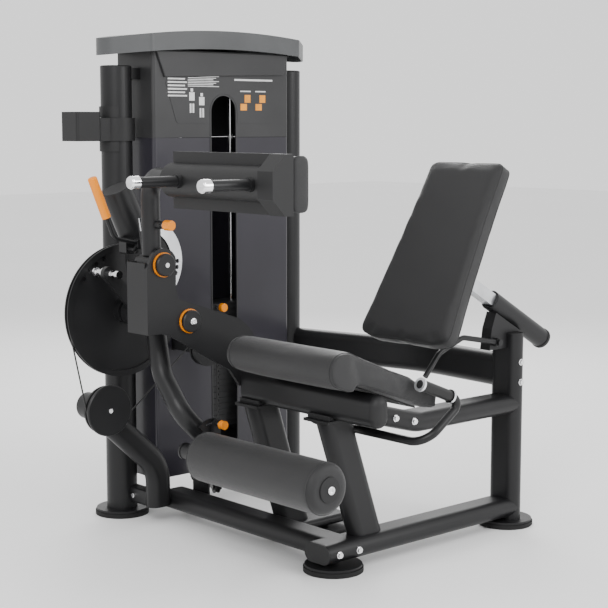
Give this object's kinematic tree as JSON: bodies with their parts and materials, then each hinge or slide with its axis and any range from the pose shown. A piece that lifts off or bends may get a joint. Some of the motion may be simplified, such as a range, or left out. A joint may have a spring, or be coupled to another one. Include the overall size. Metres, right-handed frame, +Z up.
{
  "type": "leg extension machine",
  "caption": "Selectorised leg extension and leg curl machine: weight tower with shroud, reclined seat and backrest, swinging lever with shin roller, thigh pad and cam.",
  "frame": {"origin": "middle of the footprint of the whole machine, on the floor", "axes": "+Z up; +X from the weight tower towards the seat; +Y towards the back of the user, who faces -Y"},
  "size_m": [1.33, 1.541, 1.6],
  "materials": {
    "satin_black": "satin powder coat",
    "grey_coat": "satin light grey moulding",
    "amber": "gloss",
    "chrome": "polished",
    "silver": "brushed",
    "rubber": "matte",
    "black_plastic": "fine grain",
    "upholstery": "fine grained leatherette over foam",
    "smoke": "smoke tinted sheet",
    "iron": "painted",
    "header_grey": "satin",
    "cable": "coated steel rope"
  },
  "bodies": {
    "frame": {"side_rail": "satin_black", "front_rail": "satin_black", "rear_upright": "satin_black", "inner_rail": "satin_black", "slanted_legs": "satin_black", "seat_beam": "satin_black", "mid_rail": "satin_black", "curved_tube": "satin_black", "pulley_arm": "satin_black", "foot_pads": "rubber", "foot_flanges": "satin_black", "end_caps": "black_plastic", "tower_rails": "satin_black", "tower_pillars": "satin_black", "guide_rods": "chrome", "stack_bumpers": "rubber", "resting_plates": "iron", "upper_shroud": "header_grey", "shroud_panels": "smoke", "front_header": "header_grey", "crown": "grey_coat", "drink_holder": "black_plastic", "drive_cable": "cable", "stack_cable": "cable", "pulley_brackets": "satin_black", "pivot_frame": "satin_black", "sector_plate": "silver", "bearing_rings": "amber", "thigh_shaft": "satin_black", "seat_pad": "upholstery", "seat_pan": "satin_black", "handlebar": "satin_black", "hand_grips": "rubber", "adjuster_sleeve": "satin_black", "frame_bolts": "chrome"},
    "top_weight": {"lifted_weight": "iron"},
    "weight_selector": {"selector_pin": "amber"},
    "cam": {"cam_disc": "satin_black", "knee_shaft": "satin_black"},
    "lever": {"lever_frame": "satin_black", "counterweight": "satin_black", "latch_barrel": "chrome"},
    "start_latch": {"latch_pin": "chrome"},
    "start_grip": {"release_grip": "amber"},
    "carrier": {"roller_carrier": "satin_black"},
    "carrier_knob": {"carrier_pin": "amber"},
    "shin_roller": {"roller": "upholstery"},
    "thigh_holder": {"thigh_arm": "satin_black", "thigh_shell": "black_plastic", "thigh_pad": "upholstery", "thigh_handles": "satin_black"},
    "thigh_knob": {"thigh_pin": "amber"},
    "backrest": {"backrest_bar": "silver", "backrest_pad": "upholstery"},
    "back_release": {"release_rod": "satin_black"},
    "pulley_front": {"front_pulley": "black_plastic"},
    "pulley_middle": {"middle_pulley": "black_plastic"},
    "pulley_floor": {"floor_pulley": "black_plastic"},
    "pulley_riser": {"riser_pulley": "black_plastic"},
    "pulley_top": {"top_pulley": "black_plastic"}
  },
  "joints": [
    {"name": "cam_turn", "type": "hinge", "parent": "frame", "child": "cam", "pos_m": [-0.305, -0.4315, 0.722], "axis": [-1, 0, 0], "range_deg": [0, 80]},
    {"name": "stack_lift", "type": "slide", "parent": "frame", "child": "top_weight", "axis": [0, 0, 1], "range_m": [0, 0.3], "deforming": ["stack_cable"]},
    {"name": "selector_pull", "type": "slide", "parent": "top_weight", "child": "weight_selector", "axis": [1, 0, 0], "range_m": [0, 0.09]},
    {"name": "start_angle", "type": "hinge", "parent": "cam", "child": "lever", "pos_m": [-0.175, -0.4315, 0.722], "axis": [-1, 0, 0], "range_deg": [-10, 20]},
    {"name": "latch_pull", "type": "slide", "parent": "lever", "child": "start_latch", "axis": [1, 0, 0], "range_m": [-0.006, 0]},
    {"name": "start_grip_turn", "type": "hinge", "parent": "lever", "child": "start_grip", "pos_m": [-0.142, -0.4855, 0.94], "axis": [0, 0.698, 0.7161], "range_deg": [-10, 0]},
    {"name": "carrier_turn", "type": "hinge", "parent": "lever", "child": "carrier", "pos_m": [0.045, -0.3635, 0.358], "axis": [-1, 0, 0], "range_deg": [-30, 10]},
    {"name": "carrier_knob_pull", "type": "slide", "parent": "carrier", "child": "carrier_knob", "axis": [1, 0, 0], "range_m": [-0.008, 0]},
    {"name": "roller_spin", "type": "hinge", "parent": "carrier", "child": "shin_roller", "pos_m": [0.345, -0.4385, 0.331], "axis": [1, 0, 0], "continuous": true},
    {"name": "thigh_turn", "type": "hinge", "parent": "frame", "child": "thigh_holder", "pos_m": [-0.015, -0.5235, 0.893], "axis": [-1, 0, 0], "range_deg": [0, 120]},
    {"name": "thigh_knob_pull", "type": "slide", "parent": "thigh_holder", "child": "thigh_knob", "axis": [1, 0, 0], "range_m": [-0.01, 0]},
    {"name": "backrest_slide", "type": "slide", "parent": "frame", "child": "backrest", "axis": [0, -0.866, 0.5], "range_m": [-0.05, 0.07]},
    {"name": "back_release_turn", "type": "hinge", "parent": "frame", "child": "back_release", "pos_m": [0.42, 0.4945, 0.609], "axis": [-1, 0, 0], "range_deg": [0, 8]},
    {"name": "front_pulley_spin", "type": "hinge", "parent": "frame", "child": "pulley_front", "pos_m": [-0.305, -0.4975, 0.415], "axis": [-1, 0, 0], "range_deg": [-1, 245]},
    {"name": "middle_pulley_spin", "type": "hinge", "parent": "frame", "child": "pulley_middle", "pos_m": [-0.305, -0.1095, 0.57], "axis": [-1, 0, 0], "range_deg": [-342, 1]},
    {"name": "floor_pulley_spin", "type": "hinge", "parent": "frame", "child": "pulley_floor", "pos_m": [-0.33679, -0.04485, 0.11], "axis": [-0.4185, -0.9082, 0], "range_deg": [-1, 488]},
    {"name": "riser_pulley_spin", "type": "hinge", "parent": "frame", "child": "pulley_riser", "pos_m": [-0.60521, 0.07885, 0.11], "axis": [-0.4185, -0.9082, 0], "range_deg": [-1, 488]},
    {"name": "top_pulley_spin", "type": "hinge", "parent": "frame", "child": "pulley_top", "pos_m": [-0.596, 0.0935, 1.385], "axis": [0, -1, 0], "range_deg": [-1, 416]}
  ],
  "couplings": [
    {"joint": "stack_lift", "follows": "cam_turn", "m_per_rad": 0.2},
    {"joint": "front_pulley_spin", "follows": "cam_turn", "ratio": 2.8571},
    {"joint": "middle_pulley_spin", "follows": "cam_turn", "ratio": -4},
    {"joint": "floor_pulley_spin", "follows": "cam_turn", "ratio": 5.7143},
    {"joint": "riser_pulley_spin", "follows": "cam_turn", "ratio": 5.7143},
    {"joint": "top_pulley_spin", "follows": "cam_turn", "ratio": 4.878},
    {"joint": "latch_pull", "follows": "start_grip_turn", "m_per_rad": 0.0342}
  ]
}
